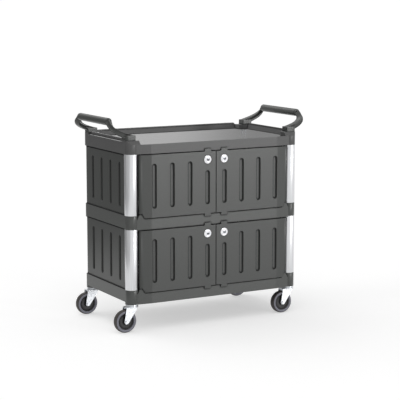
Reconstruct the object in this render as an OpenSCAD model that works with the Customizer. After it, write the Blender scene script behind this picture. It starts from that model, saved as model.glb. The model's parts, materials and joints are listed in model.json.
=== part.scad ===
// Service cart with a tray, two door cupboards and four swivel casters.
// Millimetres. The floor is z = 0, the front faces -Y and the origin is under the middle.

/* [Cart] */
// Length over the two handles
cart_len = 1020; // [900:10:1200]
// Depth from the lock faces to the screw heads at the back
cart_depth = 500; // [440:10:620]
// Height from the floor to the top of the handles
cart_height = 960; // [860:10:1060]

/* [Posts] */
// Diameter of the posts and of the shelf corners
post_d = 60; // [54:1:64]
// Wall of the post tubes
post_wall = 2.5; // [1.5:0.5:4]
// How far the handles reach out past the posts
handle_reach = 69; // [66:1:90]
// How far the lock faces and screw heads stand out past the posts
face_reach = 12; // [12:0.5:16]
// Length of the plug that holds each tube end
plug_len = 25; // [15:1:40]

/* [Shelves] */
// Height of the bottom shelf's underside over the floor
caster_h = 127; // [125:1:150]
// Height of the bottom shelf's corners
bottom_corner_h = 66; // [60:1:80]
// Height of the middle shelf's corners
middle_corner_h = 62; // [60:1:80]
// Height of the tray's corners
tray_corner_h = 60; // [58:1:70]
// Height of the front and back skirts of the two lower shelves
skirt_h = 48; // [44:1:54]
// Height of the tray's front skirt
lip_h = 43; // [40:1:46]
// How far the front skirt's flat middle stands out past the posts
skirt_reach = 4; // [3:0.5:5]
// Distance of the angled corner faces from the post axis
facet_len = 84; // [78:1:90]
// Slope of the angled corner faces
facet_angle = 6; // [4:0.5:7]
// Wall of the mouldings
wall = 3.5; // [2.5:0.5:4]
// How far the decks lie below the skirt's top
deck_drop = 5; // [3:0.5:7]
// Height of the ribs under the decks
rib_h = 18; // [10:1:24]
// Thickness of the ribs
rib_t = 2.5; // [1.5:0.5:4]

/* [Tray rim] */
// Width of the step along the ends, outside the raised rim
step_w = 12; // [8:1:14]
// Depth of that step below the rim's top
step_h = 5; // [4:1:10]
// Height of the ridges on the end rims and the rear rim
ridge_h = 8; // [4:1:10]
// Width of those ridges
ridge_w = 5; // [3:0.5:7]
// Width of the rim's top
rim_top_w = 8; // [5:0.5:11]
// Run of the rim's sloping inner face
rim_slope = 6; // [3:0.5:9]
// Width of the front lip
lip_w = 8; // [6:0.5:12]
// Side of the raised pads under the handle feet
pad_len = 64; // [58:1:68]

/* [Doors] */
// Thickness of a door over its edge flange
door_t = 18; // [15:0.5:19]
// Wall of the door and panel mouldings
door_wall = 3; // [2:0.5:4]
// Gap around each door
door_gap = 4; // [2:0.5:5]
// How far the lock face stands out past the door
lock_reach = 4; // [3:0.5:5]
// Width of the overlapping tabs
tab_w = 32; // [24:1:40]
// How far the tabs reach over the skirts
tab_lap = 8.5; // [6:0.5:10]
// Clearance between a tab and the skirt behind it
tab_gap = 0.5; // [0.3:0.1:0.8]

/* [Slots] */
// Number of slots in each door, and in each half of the back
door_slots = 4; // [1:1:4]
// Pitch of the slots in the doors and the back
slot_pitch = 90; // [80:1:92]
// Pitch of the slots in the ends
end_slot_pitch = 94; // [80:1:96]
// Distance of the first slot from the seam
first_slot = 44; // [40:1:48]
// Width of a slot at the face
slot_w = 24; // [18:1:26]
// Width of its floor
slot_floor_w = 17; // [10:1:20]
// Depth of a slot
slot_depth = 7; // [4:0.5:7.5]
// Distance of a slot's ends from the edges of its panel
slot_margin = 40; // [34:1:50]
// Distance of the short slot's top from the door's top
lock_margin = 85; // [75:1:95]

/* [Hinges] */
// Distance of the hinge line from the post axis, along the cart
hinge_dx = 35; // [34.5:0.5:37]
// Distance of the hinge line from the post axis, towards the front
hinge_dy = 23; // [22:0.5:24]
// Radius of the door's hinge edge
knuckle_r = 10; // [8:0.5:10]
// Diameter of the hinge pins
pin_d = 6; // [5:0.5:8]
// How far a pin goes into the door or the shelf
pin_depth = 20; // [12:1:24]
// Height of the cones that carry the doors
seat_h = 20; // [12:1:24]
// Radius of those cones at their foot
seat_foot_r = 18; // [16:1:20]
// Radius of those cones at their top
seat_top_r = 9; // [7:0.5:10]

/* [Locks] */
// Distance of the lock from the seam
lock_x = 43; // [38:1:48]
// Distance of the lock from the door's top edge
lock_drop = 37; // [34:1:42]
// Diameter of the lock's front flange
lock_flange_d = 38; // [30:1:44]
// Diameter of the lock's threaded body
lock_body_d = 19; // [16:0.5:20]
// Diameter of the turning plug
lock_plug_d = 14; // [11:0.5:14]
// Length of the cam from the plug's axis
cam_len = 48; // [44:1:52]
// Width of the cam
cam_w = 16; // [12:1:20]

/* [Panels] */
// How far the end panels lie in from the skirts
panel_recess = 5; // [4:0.5:6]
// Depth of an end panel over its flange
panel_t = 14; // [13.5:0.5:16]
// Height of the bevel along the top of an end panel
panel_bevel = 7; // [4:0.5:9]
// Height of the tongues that hold the end panels
tongue_h = 6; // [4:0.5:8]

/* [Handles] */
// Diameter of the grip bar
grip_d = 34; // [28:1:38]
// Length of the grip bar
grip_len = 308; // [260:2:320]
// Height of the handle over the tray's rim
handle_rise = 99; // [92:1:120]
// Height of the handle's feet
foot_h = 24; // [22:1:28]
// Length of the handle's feet, along the cart
foot_len = 48; // [46:1:54]
// Depth of the handle's feet, along the grip
foot_w = 44; // [42:1:48]
// Width of the arms at the feet
arm_w = 36; // [30:1:40]
// Thickness of the arms at the feet
arm_t = 24; // [18:1:26]
// How far the arms' curve is drawn out past the grip's axis
arm_bow = 17.5; // [12:0.5:18.5]

/* [Casters] */
// Diameter of the wheels
wheel_d = 104; // [95:1:108]
// Width of the wheels
wheel_w = 32; // [24:1:36]
// Trail of the wheel behind the swivel axis
trail = 35; // [28:1:40]
// Diameter of the wheel centre inside the tyre
hub_d = 75; // [60:1:80]
// Diameter of the swivel head
head_d = 58; // [50:1:60]
// Thickness of the fork's sheet
fork_t = 2.8; // [2:0.2:3.4]
// Diameter of the axle bolt
axle_d = 8; // [6:0.5:10]
// Diameter of the threaded stem
stem_d = 12; // [10:0.5:14]

/* [Hidden] */

// Finishes, as seen
plastic_c = "#5a5c5a";
deck_c = "#8c8c8c";
metal_c = "#d4d6d8";
chrome_c = "#e6e8ea";
tyre_c = "#8f8f98";
hub_c = "#242424";

// Common clearances, and the overrun of every cut
seat_gap = 0.2;
run_gap = 0.06;
over = 1;
$fn = 64;

// Places of the posts
post_r = post_d / 2;
post_x = cart_len / 2 - handle_reach - post_r;
post_y = cart_depth / 2 - face_reach - post_r;
end_x = post_x + post_r;
// The end panels wrap round the rear posts, which are thinner to fit inside
wrap_r = post_r - panel_recess;
wrap_gap = 0.5;
function tube_r(sy) = sy < 0 ? post_r : wrap_r - door_wall - wrap_gap;
function plug_r(sy) = tube_r(sy) - post_wall - seat_gap;
function plug_bore_r(sy) = plug_r(sy) - wall;

// Levels of the three shelves
rim_z = cart_height - handle_rise;
tray_z = rim_z - tray_corner_h;
bottom_z = caster_h;
bottom_top_z = bottom_z + bottom_corner_h;
post_len = (tray_z - bottom_top_z - middle_corner_h) / 2;
middle_z = bottom_top_z + post_len;
middle_top_z = middle_z + middle_corner_h;
// How far the middle shelf's long skirts hang below its corners
middle_skirt_drop = 3;
middle_skirt_z = middle_z - middle_skirt_drop;
// How far each shelf's end skirts stop above its corners' lower edge, from the bottom up
end_skirt_lift = [11, 4, 1];

// Outline of the shelves, seen from above
skirt_y = post_y + post_r + skirt_reach;
facet_x = post_x - facet_len;
facet_fall = facet_len * tan(facet_angle);

// Levels of the doors
upper_door = [middle_skirt_z + skirt_h + door_gap, tray_z - door_gap];
lower_door = [bottom_z + skirt_h + door_gap, middle_skirt_z - door_gap];

// Door planes, from the front
door_y = cart_depth / 2 - lock_reach;
door_back_y = door_y - door_t;
hinge_x = post_x - hinge_dx;
hinge_y = post_y + hinge_dy;
pin_r = pin_d / 2;
seam_half = door_gap / 2;

// Lock and cam planes
flange_t = 2;
cap_t = 1.4;
cam_t = 2.5;
cam_gap = 1.5;
cam_y = door_back_y - cam_gap;
cam_lap_w = 28;
cam_lap_gap = 0.5;
cam_lap_h = 20;
key_w = 1.6;
key_len = 8;
key_depth = 5;
lock_nut_r = 14;
lock_nut_t = 4;
cam_screw_r = 4.5;
cam_screw_t = 3;

// Screws at the back
back_screws = [first_slot + slot_pitch / 2, first_slot + slot_pitch * 5 / 2];
screw_r = 2.4;
screw_head_r = 5.5;
screw_len = 12;

// The handles, on the tray
pad_x = end_x - pad_len;
foot_x = end_x - foot_len;
foot_y = post_y - foot_w / 6;
foot_in_y = foot_y - foot_w / 2;
grip_r = grip_d / 2;
arm_proud = 2;
grip_x = cart_len / 2 - grip_r - arm_proud;
grip_z = cart_height - grip_r;
bolt_r = 4;
bolt_head_r = 6.5;
bolt_head_t = 8;
bolt_len = 27;
bolt_spread = 9;
corner_top_t = 8;

// Casters
fork_gap = 1.5;
axle_z = wheel_d / 2;
leg_y = wheel_w / 2 + fork_gap;
race_t = 5.5;
head_gap = 0.3;
crown_z = caster_h - race_t - head_gap - race_t;
axle_head_r = 7.5;
axle_head_t = 5;
stem_floor_t = 12;
stem_len = 26;
nut_t = 10;
nut_r = 11;

// Shelf outline, drawn in by a distance on every side
module shelf_plan(inset = 0) {
    y = skirt_y - inset;
    x = end_x - inset;
    for (side = [-1, 1])
        polygon([
            [-facet_x, 0], [-facet_x, side * y], [facet_x, side * y], [facet_x, 0]]);
    for (sx = [-1, 1], sy = [-1, 1])
        polygon([
            [sx * facet_x, 0], [sx * facet_x, sy * y],
            [sx * post_x, sy * (y - facet_fall)], [sx * x, sy * post_y], [sx * x, 0]]);
    for (sx = [-1, 1], sy = [-1, 1])
        translate([sx * post_x, sy * post_y])
            circle(post_r - inset);
}

// A slab of the shelf outline between two heights
module plan_slab(z0, z1, inset = 0) {
    translate([0, 0, z0])
        linear_extrude(z1 - z0)
            shelf_plan(inset);
}

// The four places of a thing at a post, or the two of one row
module at_posts(x = post_x, y = post_y, rows = [-1, 1]) {
    for (sx = [-1, 1], sy = rows)
        translate([sx * x, sy * y, 0])
            children();
}

// Skirts along the front and the back, and along the two ends
module skirts(z0, z1, end_z0, end_z1) {
    reach = cart_len;
    intersection() {
        difference() {
            plan_slab(z0, z1);
            plan_slab(z0 - over, z1 + over, wall);
        }
        translate([-post_x, -reach / 2, z0])
            cube([2 * post_x, reach, z1 - z0]);
    }
    for (sx = [-1, 1])
        translate([sx > 0 ? end_x - wall : -end_x, -post_y, end_z0])
            cube([wall, 2 * post_y, end_z1 - end_z0]);
}

// Ribs under a deck, in a grid that stays inside the skirts
module deck_ribs(deck_z) {
    rib_x_shares = [-3/4, -1/2, -1/4, 0, 1/4, 1/2, 3/4];
    rib_y_shares = [-1/2, 0, 1/2];
    depth = wall + rib_h;
    intersection() {
        union() {
            for (share = rib_x_shares)
                translate([share * post_x - rib_t / 2, -skirt_y, deck_z - depth])
                    cube([rib_t, 2 * skirt_y, rib_h + wall / 2]);
            for (share = rib_y_shares)
                translate([-end_x, share * skirt_y - rib_t / 2, deck_z - depth])
                    cube([2 * end_x, rib_t, rib_h + wall / 2]);
        }
        plan_slab(deck_z - depth - over, deck_z, wall / 2);
    }
}

// Corners at the posts, with plugs for the tubes below and above
module corners(z0, z1, plug_below, plug_above) {
    for (sy = [-1, 1])
        at_posts(rows = [sy]) {
            translate([0, 0, z0])
                cylinder(h = z1 - z0, r = post_r);
            if (plug_below)
                translate([0, 0, z0 - plug_len])
                    cylinder(h = plug_len + over, r = plug_r(sy));
            if (plug_above)
                translate([0, 0, z1 - over])
                    cylinder(h = plug_len + over, r = plug_r(sy));
        }
}

// The bores through the corners, and the wider hollow of the rear ones between two levels
module corner_bores(z0, z1, wide_z0, wide_z1) {
    for (sy = [-1, 1])
        at_posts(rows = [sy])
            translate([0, 0, z0])
                cylinder(h = z1 - z0, r = plug_bore_r(sy));
    at_posts(rows = [1])
        translate([0, 0, wide_z0])
            cylinder(h = wide_z1 - wide_z0, r = plug_bore_r(-1));
}

// The bar along each end that carries the panels' tongues
module end_bar(z0, z1) {
    bar_w = panel_recess + panel_t + wall;
    for (sx = [-1, 1])
        translate([sx > 0 ? end_x - bar_w : -end_x, -post_y, z0])
            cube([bar_w, 2 * post_y, z1 - z0]);
}

// Grooves for the tongues of the end panels, from a height up or down
module tongue_grooves(z0) {
    w = tongue_t() + 2 * seat_gap;
    for (sx = [-1, 1])
        translate([sx * tongue_x() - w / 2, -tongue_y() - seat_gap, z0])
            cube([w, 2 * (tongue_y() + seat_gap), tongue_h + seat_gap + over]);
}
function tongue_t() = door_wall;
function tongue_x() = end_x - panel_recess - panel_t + door_wall * 3 / 2;
function tongue_y() = post_y - post_r - slot_w / 2;

// Hinge cones that carry the doors on the lower shelves, cut flush with the skirt's face
module hinge_seats(skirt_top, skirt_bottom) {
    intersection() {
        union() {
            at_hinges()
                translate([0, 0, skirt_top])
                    cylinder(h = seat_h, r1 = seat_foot_r, r2 = seat_top_r, $fn = 96);
            at_hinges()
                translate([0, 0, skirt_bottom])
                    cylinder(h = skirt_top - skirt_bottom, r = seat_foot_r, $fn = 96);
        }
        plan_slab(skirt_bottom - over, skirt_top + seat_h + over);
    }
}

// Bosses behind a skirt that take the upper pins of the doors below
module pin_bosses(z0, z1) {
    intersection() {
        at_hinges()
            translate([0, 0, z0])
                cylinder(h = z1 - z0, r = seat_top_r);
        plan_slab(z0 - over, z1 + over);
    }
}

module at_hinges() {
    for (sx = [-1, 1])
        translate([sx * hinge_x, -hinge_y, 0])
            children();
}

// Pin bores, from a face into the shelf
module pin_bores(z0, depth) {
    at_hinges()
        translate([0, 0, z0])
            cylinder(h = depth, r = pin_r + run_gap / 2);
}

// Ledges behind the front skirt that the turned cams catch
module cam_ledges(z0) {
    front = skirt_y - wall / 2;
    back = cam_y + cam_lap_gap;
    for (sx = [-1, 1])
        translate([sx * lock_x - cam_lap_w / 2, -front, z0])
            cube([cam_lap_w, front - back, cam_lap_h]);
}

// Square bosses behind a skirt for the screws of the back panels
module back_screw_bosses(z) {
    back = skirt_y - screw_len - wall;
    for (sx = [-1, 1], x = back_screws)
        translate([sx * x - screw_head_r, back, z - screw_head_r])
            cube([2 * screw_head_r, skirt_y - wall / 2 - back, 2 * screw_head_r]);
}

module back_screw_bores(z) {
    for (sx = [-1, 1], x = back_screws)
        translate([sx * x, skirt_y - screw_len, z])
            rotate([-90, 0, 0])
                cylinder(h = screw_len + over, r = screw_r + seat_gap / 2);
}

// Heights of the back screws over a skirt's lower edge and under its upper edge
function low_screw_z(z0) = z0 + tab_lap / 2;
function high_screw_z(z1) = z1 - tab_lap / 2;

module bottom_shelf() {
    skirt_top = bottom_z + skirt_h;
    deck_z = skirt_top - deck_drop;
    end_z = bottom_z + end_skirt_lift[0];
    color(plastic_c)
        difference() {
            union() {
                skirts(bottom_z, skirt_top, end_z, bottom_top_z);
                plan_slab(deck_z - wall, deck_z, wall / 2);
                deck_ribs(deck_z);
                end_bar(deck_z - wall / 2, bottom_top_z);
                corners(bottom_z, bottom_top_z, false, true);
                hinge_seats(skirt_top, deck_z - wall - pin_depth);
                back_screw_bosses(high_screw_z(skirt_top));
            }
            corner_bores(bottom_z + stem_floor_t, bottom_top_z + plug_len + over,
                bottom_z + stem_floor_t, bottom_top_z - wall);
            at_posts()
                translate([0, 0, bottom_z - over])
                    cylinder(h = stem_floor_t + 2 * over, r = stem_d / 2 + run_gap);
            pin_bores(skirt_top + seat_h - pin_depth, pin_depth + over);
            tongue_grooves(bottom_top_z - tongue_h - seat_gap);
            back_screw_bores(high_screw_z(skirt_top));
        }
}

module middle_shelf() {
    skirt_top = middle_skirt_z + skirt_h;
    deck_z = skirt_top - deck_drop;
    end_z = middle_z + end_skirt_lift[1];
    color(plastic_c)
        difference() {
            union() {
                difference() {
                    union() {
                        skirts(middle_skirt_z, skirt_top, end_z, middle_top_z);
                        hinge_seats(skirt_top, middle_skirt_z);
                    }
                    at_posts()
                        translate([0, 0, middle_skirt_z - over])
                            cylinder(h = middle_skirt_drop + over, r = post_r + seat_gap);
                }
                plan_slab(deck_z - wall, deck_z, wall / 2);
                deck_ribs(deck_z);
                end_bar(deck_z - wall / 2, middle_top_z);
                end_bar(end_z, end_z + tongue_h + wall);
                corners(middle_z, middle_top_z, true, true);
                cam_ledges(middle_skirt_z);
                back_screw_bosses(high_screw_z(skirt_top));
                back_screw_bosses(low_screw_z(middle_skirt_z));
            }
            corner_bores(middle_z - plug_len - over, middle_top_z + plug_len + over,
                middle_z + wall, middle_top_z - wall);
            pin_bores(skirt_top + seat_h - pin_depth, pin_depth + over);
            pin_bores(middle_skirt_z - over, pin_depth + over);
            tongue_grooves(middle_top_z - tongue_h - seat_gap);
            tongue_grooves(end_z - over);
            back_screw_bores(high_screw_z(skirt_top));
            back_screw_bores(low_screw_z(middle_skirt_z));
        }
}

// Raised rims along the ends of the tray, with the step outside them
module end_rims(deck_z) {
    out = end_x - step_w;
    for (sx = [-1, 1])
        translate([0, post_y, 0])
            rotate([90, 0, 0])
                linear_extrude(2 * post_y)
                    polygon([
                        [sx * end_x, rim_z - step_h], [sx * out, rim_z - step_h],
                        [sx * out, rim_z], [sx * (out - rim_top_w), rim_z],
                        [sx * (out - rim_top_w - rim_slope), deck_z],
                        [sx * (out - rim_top_w - rim_slope), deck_z - wall],
                        [sx * end_x, deck_z - wall]]);
}

// The rear rim, as high as the ends, and the low front lip
module long_rims(deck_z) {
    lip_z = tray_z + lip_h;
    intersection() {
        union() {
            translate([-end_x, 0, 0])
                rotate([90, 0, 90])
                    linear_extrude(2 * end_x)
                        polygon([
                            [skirt_y, deck_z - wall], [skirt_y, rim_z],
                            [skirt_y - rim_top_w, rim_z],
                            [skirt_y - rim_top_w - rim_slope, deck_z],
                            [skirt_y - rim_top_w - rim_slope, deck_z - wall]]);
            translate([-end_x, -skirt_y, deck_z - wall])
                cube([2 * end_x, lip_w, lip_z - deck_z + wall]);
        }
        plan_slab(deck_z - wall - over, rim_z + over);
    }
}

// Ridges along the outer edge of the end rims and the rear rim, with sloping ends
module rim_ridges() {
    module side(half)
        polygon([
            [-half, 0], [-half, over], [ridge_h - half, over + ridge_h],
            [half - ridge_h, over + ridge_h], [half, over], [half, 0]]);
    module band(inset)
        difference() {
            plan_slab(rim_z - over, rim_z + ridge_h + over, inset);
            plan_slab(rim_z - 2 * over, rim_z + ridge_h + 2 * over, inset + ridge_w);
        }
    intersection() {
        band(step_w);
        translate([-end_x, 0, rim_z - over])
            rotate([90, 0, 90])
                linear_extrude(2 * end_x)
                    side(foot_in_y - ridge_w);
    }
    intersection() {
        band(0);
        translate([0, cart_depth, rim_z - over])
            rotate([90, 0, 0])
                linear_extrude(cart_depth)
                    side(pad_x);
    }
}

// Raised corner pads under the handle feet, with a cut corner towards the deck
module corner_pads(deck_z) {
    cut = pad_len / 5;
    in_y = foot_in_y - over;
    intersection() {
        plan_slab(deck_z - wall, rim_z);
        for (sx = [-1, 1], sy = [-1, 1])
            translate([0, 0, deck_z - wall])
                linear_extrude(rim_z - deck_z + wall)
                    polygon([
                        [sx * pad_x, sy * skirt_y], [sx * pad_x, sy * (in_y + cut)],
                        [sx * (pad_x + cut), sy * in_y], [sx * end_x, sy * in_y],
                        [sx * end_x, sy * skirt_y]]);
    }
}

// The slope at the front of the two front pads, from the lip up to the feet
module front_slope() {
    y0 = post_y + post_r;
    y1 = foot_y + foot_w / 2;
    z0 = tray_z + lip_h;
    for (sx = [-1, 1])
        translate([sx > 0 ? facet_x : -end_x - over, 0, 0])
            rotate([90, 0, 90])
                linear_extrude(end_x - facet_x + over)
                    polygon([
                        [-skirt_y - over, z0], [-y0, z0], [-y1, rim_z],
                        [-y1, rim_z + over], [-skirt_y - over, rim_z + over]]);
}

module top_tray() {
    deck_z = tray_z + lip_h - deck_drop;
    end_z = tray_z + end_skirt_lift[2];
    lip_z = tray_z + lip_h;
    color(deck_c)
        difference() {
            union() {
                skirts(tray_z, lip_z, end_z, rim_z - step_h);
                plan_slab(deck_z - wall, deck_z, wall / 2);
                deck_ribs(deck_z);
                end_bar(end_z, end_z + tongue_h + wall);
                end_rims(deck_z);
                long_rims(deck_z);
                corner_pads(deck_z);
                rim_ridges();
                corners(tray_z, rim_z, true, false);
                pin_bosses(tray_z, deck_z - wall / 2);
                cam_ledges(tray_z);
                back_screw_bosses(low_screw_z(tray_z));
            }
            front_slope();
            corner_bores(tray_z - plug_len - over, rim_z - corner_top_t,
                tray_z + wall, rim_z - corner_top_t);
            at_posts(y = foot_y)
                for (side = [-1, 1])
                    translate([side * bolt_spread, 0, rim_z - corner_top_t - over])
                        cylinder(h = corner_top_t + 2 * over, r = bolt_r + run_gap);
            pin_bores(tray_z - over, pin_depth + over);
            tongue_grooves(end_z - over);
            back_screw_bores(low_screw_z(tray_z));
        }
}

// A post tube, between two shelves
module post(z0, sx, sy) {
    color(metal_c)
        translate([sx * post_x, sy * post_y, z0])
            difference() {
                cylinder(h = post_len, r = tube_r(sy), $fn = 96);
                translate([0, 0, -over])
                    cylinder(h = post_len + 2 * over, r = tube_r(sy) - post_wall, $fn = 96);
            }
}

// A bar with round ends and sloping sides between two heights, len long over its wide ends
module slot_bar(len, r0, z0, r1, z1) {
    half = len / 2 - slot_w / 2;
    for (s = [-1, 1])
        translate([0, s * half, z0])
            cylinder(h = z1 - z0, r1 = r0, r2 = r1);
    translate([0, half, 0])
        rotate([90, 0, 0])
            linear_extrude(2 * half)
                polygon([[-r0, z0], [r0, z0], [r1, z1], [-r1, z1]]);
}

// What is cut for a slot in a face at z = 0
module slot_cut(len) {
    rise_share = (slot_w - slot_floor_w) / 2 / slot_depth;
    slot_bar(len, slot_floor_w / 2, -slot_depth, slot_w / 2 + over * rise_share, over);
}

// The moulding's wall behind a slot
module slot_back(len) {
    slot_bar(len, slot_floor_w / 2 + door_wall, -slot_depth - door_wall,
        slot_w / 2 + door_wall, -door_wall / 2);
}

// Turns a shape in the panel's own plane to face the front of the cart
module face_front(x, z, y = door_y) {
    translate([x, -y, z])
        rotate([90, 0, 0])
            children();
}

// Places and lengths of a door's slots: the one by the seam is short, to clear the lock
function door_slot_x(i) = first_slot + i * slot_pitch;
function door_slot_len(i, span) =
    span[1] - span[0] - slot_margin - (i == 0 ? lock_margin : slot_margin);
function door_slot_z(i, span) =
    span[0] + slot_margin + door_slot_len(i, span) / 2;

// Plan of a door, drawn in by a distance, from the seam to the hinge edge
module door_plan(inset, back_y, edge_x) {
    y = door_y - inset;
    fall = (edge_x - facet_x) * tan(facet_angle);
    polygon([
        [seam_half + inset, -back_y], [seam_half + inset, -y], [facet_x, -y],
        [edge_x, -(y - fall)], [edge_x, -back_y]]);
}

// Places a tab at the top and the bottom edge, at each distance from the middle
module tabs(places, span) {
    for (x = places, z = [span[0] - door_gap - tab_lap, span[1] - tab_lap])
        translate([x - tab_w / 2, 0, z])
            children();
}

// Right-hand door, as a shell with an edge flange, a full hinge edge, tabs and slots
module door_right(span) {
    height = span[1] - span[0];
    tab_y = skirt_y + tab_gap;
    difference() {
        union() {
            difference() {
                translate([0, 0, span[0]])
                    linear_extrude(height)
                        door_plan(0, door_back_y, hinge_x);
                translate([0, 0, span[0] + door_wall])
                    linear_extrude(height - 2 * door_wall)
                        door_plan(door_wall, door_back_y - over, hinge_x - knuckle_r + over);
            }
            translate([hinge_x, -hinge_y, span[0]])
                cylinder(h = height, r = knuckle_r);
            tabs([lock_x], span)
                translate([0, -door_y, 0])
                    cube([tab_w, door_y - tab_y, door_gap + 2 * tab_lap]);
            for (i = [0:door_slots - 1])
                face_front(door_slot_x(i), door_slot_z(i, span))
                    slot_back(door_slot_len(i, span));
        }
        for (i = [0:door_slots - 1])
            face_front(door_slot_x(i), door_slot_z(i, span))
                slot_cut(door_slot_len(i, span));
        translate([hinge_x, -hinge_y, span[0] - over])
            cylinder(h = height + 2 * over, r = pin_r + run_gap);
        hinge_clearance(span[0]);
        face_front(lock_x, span[1] - lock_drop, door_y + over)
            translate([0, 0, -door_t])
                cylinder(h = door_t + 2 * over, r = lock_body_d / 2 + run_gap);
    }
}

// Room for the hinge cone under the door, a shape turned about the hinge line
module hinge_clearance(z0) {
    gap = door_gap * 2 / 3;
    slope_share = (seat_foot_r - seat_top_r) / seat_h;
    foot_z = z0 - door_gap;
    translate([hinge_x, -hinge_y, foot_z]) {
        cylinder(h = seat_h + door_gap, r1 = seat_foot_r + gap,
            r2 = seat_foot_r + gap - slope_share * (seat_h + door_gap), $fn = 96);
        cylinder(h = seat_h + door_gap, r = seat_top_r + gap, $fn = 96);
    }
}

module door(span, side) {
    color(plastic_c)
        if (side > 0)
            door_right(span);
        else
            mirror([1, 0, 0])
                door_right(span);
}

// Steel pins: the lower ones have a collar that the door stands on
module hinge_pins() {
    collar_r = pin_r + wall / 2;
    color(metal_c)
        for (span = [lower_door, upper_door]) {
            seat_z = span[0] - door_gap + seat_h;
            at_hinges() {
                translate([0, 0, seat_z - pin_depth])
                    cylinder(h = 2 * pin_depth, r = pin_r);
                translate([0, 0, seat_z])
                    cylinder(h = door_gap - seat_gap, r = collar_r);
                translate([0, 0, span[1] - pin_depth])
                    cylinder(h = 2 * pin_depth + door_gap - seat_gap, r = pin_r);
            }
        }
}

// Runs its children at a lock's axis, z = 0 on the door's face and +z towards the front
module at_lock(span, side) {
    face_front(side * lock_x, span[1] - lock_drop)
        children();
}

module lock_barrel(span, side) {
    body_len = door_y - cam_y - cam_gap / 2;
    cap_r = lock_plug_d / 2 + door_wall;
    color(chrome_c)
        at_lock(span, side)
            difference() {
                union() {
                    rotate_extrude($fn = 96)
                        polygon([
                            [0, 0], [lock_flange_d / 2, 0],
                            [lock_flange_d / 2, flange_t / 3],
                            [lock_flange_d / 2 - flange_t, flange_t],
                            [cap_r + cap_t, flange_t],
                            [cap_r, flange_t + cap_t], [0, flange_t + cap_t]]);
                    translate([0, 0, -body_len])
                        cylinder(h = body_len + flange_t, r = lock_body_d / 2);
                    translate([0, 0, -door_wall - lock_nut_t])
                        cylinder(h = lock_nut_t, r = lock_nut_r, $fn = 6);
                }
                translate([0, 0, -body_len - over])
                    cylinder(h = body_len + lock_reach + 2 * over, r = lock_plug_d / 2 + run_gap);
            }
}

module lock_plug(span, side) {
    plug_back = door_y - cam_y;
    color(chrome_c)
        at_lock(span, side)
            difference() {
                translate([0, 0, -plug_back])
                    cylinder(h = plug_back + lock_reach, r = lock_plug_d / 2);
                translate([-key_len / 2, -key_w / 2, lock_reach - key_depth])
                    cube([key_len, key_w, key_depth + over]);
                translate([0, 0, -plug_back - over])
                    cylinder(h = cam_screw_t * 2 + over, r = screw_r);
            }
}

// The cam points to the hinge side when the lock is open
module lock_cam(span, side) {
    plug_back = door_y - cam_y;
    reach = cam_len - cam_w / 2;
    color(metal_c)
        at_lock(span, side)
            translate([0, 0, -plug_back - cam_t]) {
                difference() {
                    union() {
                        cylinder(h = cam_t, r = cam_w / 2);
                        translate([side > 0 ? 0 : -reach, -cam_w / 2, 0])
                            cube([reach, cam_w, cam_t]);
                        translate([side * reach, 0, 0])
                            cylinder(h = cam_t, r = cam_w / 2);
                    }
                    translate([0, 0, -over])
                        cylinder(h = cam_t + 2 * over, r = screw_r);
                }
                translate([0, 0, -cam_screw_t])
                    cylinder(h = cam_screw_t, r = cam_screw_r);
                translate([0, 0, -cam_screw_t])
                    cylinder(h = cam_t + 2 * cam_screw_t, r = screw_r);
            }
}

// End panel in its own place at the right-hand end, from a shelf up behind the next skirt.
// Its rear edge wraps round the post, as far up as the corner above.
module end_panel_right(z0, corner_z, lift) {
    z1 = corner_z + lift;
    face_x = end_x - panel_recess;
    back_x = face_x - panel_t;
    slot_len = z1 - z0 - 2 * slot_margin + door_wall * 3;
    module profile(inset, back, far_y)
        translate([0, far_y, 0])
            rotate([90, 0, 0])
                linear_extrude(far_y + post_y - inset)
                    polygon([
                        [back, z0 + inset], [face_x - inset, z0 + inset],
                        [face_x - inset, z1 - panel_bevel],
                        [face_x - inset - panel_recess, z1 - inset], [back, z1 - inset]]);
    difference() {
        union() {
            difference() {
                profile(0, back_x, post_y);
                profile(door_wall, back_x - over, post_y + over);
            }
            for (sy = [-1, 1])
                translate([back_x, sy > 0 ? tongue_y() : -tongue_y() - door_wall, z0])
                    cube([panel_t - door_wall / 2, door_wall, z1 - z0 - panel_bevel]);
            translate([tongue_x() - tongue_t() / 2, -tongue_y(), z0 - tongue_h])
                cube([tongue_t(), 2 * tongue_y(), z1 - z0 + 2 * tongue_h]);
            end_slots(face_x, z0, z1)
                slot_back(slot_len);
            translate([post_x, post_y, z0])
                linear_extrude(corner_z - z0)
                    quarter_ring(wrap_r, wrap_r - door_wall);
        }
        translate([back_x - panel_t, -tongue_y(), z0 + door_wall])
            cube([panel_t + door_wall + over, 2 * tongue_y(), z1 - z0 - 2 * door_wall]);
        end_slots(face_x, z0, z1)
            slot_cut(slot_len);
        translate([post_x, -post_y, z0 - over])
            cylinder(h = z1 - z0 + 2 * over, r = post_r + seat_gap);
        translate([post_x, post_y, z0 - over])
            cylinder(h = corner_z - z0 + over, r = tube_r(1) + seat_gap);
        translate([post_x, post_y, corner_z])
            cylinder(h = lift + over, r = post_r + seat_gap);
    }
}

// A quarter of a ring, seen from above
module quarter_ring(r, r_in) {
    difference() {
        intersection() {
            circle(r);
            square([r + over, r + over]);
        }
        circle(r_in);
    }
}

// Runs its children at each slot of an end panel
module end_slots(face_x, z0, z1) {
    for (i = [-3/2, -1/2, 1/2, 3/2])
        translate([face_x, i * end_slot_pitch, (z0 + z1) / 2 - panel_bevel / 2])
            rotate([90, 0, 90])
                children();
}

module end_panel(z0, corner_z, lift, side) {
    color(plastic_c)
        if (side > 0)
            end_panel_right(z0, corner_z, lift);
        else
            mirror([1, 0, 0])
                end_panel_right(z0, corner_z, lift);
}

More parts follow.
